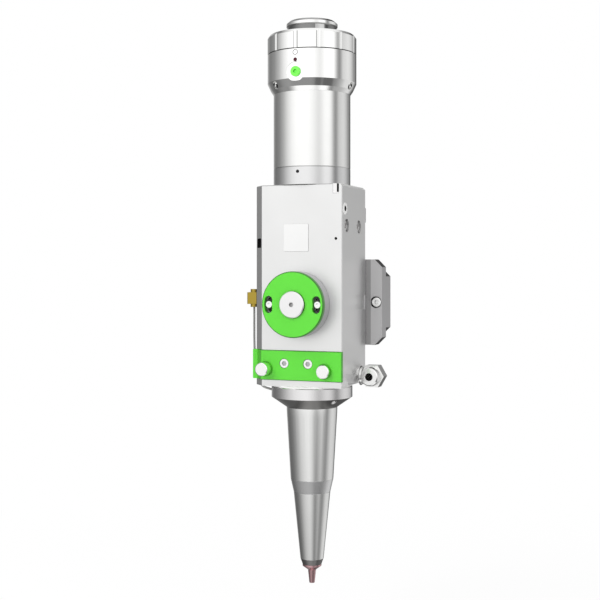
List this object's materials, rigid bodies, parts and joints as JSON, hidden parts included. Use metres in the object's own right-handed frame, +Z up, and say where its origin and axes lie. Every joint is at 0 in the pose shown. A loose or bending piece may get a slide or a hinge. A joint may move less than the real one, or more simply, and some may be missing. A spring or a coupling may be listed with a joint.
{
  "type": "laser cutting head",
  "caption": "Laser cutting head with a fibre socket and locking ring, a collimator tube, a block housing with a focus dial and a window drawer, and a tapered nozzle.",
  "frame": {"origin": "centre of the back plate's rear face, on the beam's vertical plane and level with the focus dial's axis", "axes": "+Z up along the beam towards the fibre, front towards -Y, +X to the right from the front"},
  "size_m": [0.1077, 0.0922, 0.438],
  "materials": {
    "polished_steel": "fine turned and polished",
    "satin_steel": "satin",
    "dark_steel": "blackened",
    "clear_anodised": "fine bead-blasted, clear anodised",
    "plate_aluminium": "milled, grey anodised",
    "black_anodised": "black anodised",
    "green_anodised": "green anodised",
    "maroon_enamel": "enamel",
    "bush_bronze": "turned",
    "copper": "turned copper",
    "nickel_plate": "nickel plated",
    "gold_brass": "plated",
    "optical_glass": "coated",
    "black_rubber": "matt",
    "dark_polymer": "matt",
    "ceramic": "fired",
    "lead_sheath": "satin sheath",
    "white_polymer": "satin"
  },
  "bodies": {
    "head": {"fibre_socket": "polished_steel", "thrust_washer": "dark_steel", "ring_stop_pin": "dark_steel", "socket_collar": "satin_steel", "index_dot": "maroon_enamel", "purge_plug": "green_anodised", "collar_screws": "dark_steel", "collimator_tube": "polished_steel", "collimator_cell": "black_anodised", "collimator_lens_upper": "optical_glass", "lens_spacer": "black_anodised", "collimator_lens_lower": "optical_glass", "cell_retainer": "black_anodised", "collimator_base": "satin_steel", "base_screws": "dark_steel", "upper_window": "optical_glass", "window_clamp": "black_anodised", "housing": "clear_anodised", "front_badge": "clear_anodised", "corner_key": "satin_steel", "vent_bush": "white_polymer", "side_screws": "satin_steel", "rear_port_plug": "satin_steel", "rear_plate": "plate_aluminium", "plate_bolts": "dark_steel", "wing_screws": "polished_steel", "dial_bush": "bush_bronze", "dial_lock_screws": "polished_steel", "carriage_key": "dark_steel", "insulator_ring": "dark_polymer", "nozzle_flange": "satin_steel", "flange_screws": "dark_steel", "upper_tube": "polished_steel", "joint_ring": "polished_steel", "lower_tube": "polished_steel", "ceramic_sleeve": "ceramic", "nozzle": "copper", "gas_washer": "nickel_plate", "gas_elbow": "nickel_plate", "gas_collet": "nickel_plate", "sensor_jack": "gold_brass", "sensor_plug": "gold_brass", "sensor_lead": "lead_sheath"},
    "ring": {"lock_ring": "satin_steel"},
    "dial": {"focus_dial": "plate_aluminium", "dial_face": "green_anodised", "dial_hub": "satin_steel"},
    "carriage": {"focus_carriage": "black_anodised", "follower": "bush_bronze", "follower_screws": "dark_steel", "focus_lens": "optical_glass", "focus_retainer": "black_anodised"},
    "drawer": {"drawer_cover": "green_anodised", "drawer_tray": "clear_anodised", "cover_screws": "polished_steel", "drawer_window": "optical_glass", "window_seal": "black_rubber", "window_ring": "black_anodised"},
    "left_screw": {"left_knob": "polished_steel"},
    "right_screw": {"right_knob": "polished_steel"}
  },
  "joints": [
    {"name": "lock_ring_turn", "type": "hinge", "parent": "head", "child": "ring", "pos_m": [0, -0.0493, 0.2], "axis": [0, 0, 1], "range_deg": [0, 60]},
    {"name": "dial_turn", "type": "hinge", "parent": "head", "child": "dial", "pos_m": [0, -0.0766, 0], "axis": [0, -1, 0], "range_deg": [-10, 10]},
    {"name": "carriage_slide", "type": "slide", "parent": "head", "child": "carriage", "axis": [0, 0, 1], "range_m": [-0.00209, 0.00209]},
    {"name": "drawer_slide", "type": "slide", "parent": "head", "child": "drawer", "axis": [0, -1, 0], "range_m": [0, 0.06]},
    {"name": "left_knob_turn", "type": "hinge", "parent": "drawer", "child": "left_screw", "pos_m": [-0.0272, -0.0774, -0.0497], "axis": [0, -1, 0], "continuous": true},
    {"name": "right_knob_turn", "type": "hinge", "parent": "drawer", "child": "right_screw", "pos_m": [0.0208, -0.0774, -0.0505], "axis": [0, -1, 0], "continuous": true}
  ],
  "couplings": [
    {"joint": "dial_turn", "follows": "carriage_slide", "rad_per_m": 83.333}
  ]
}
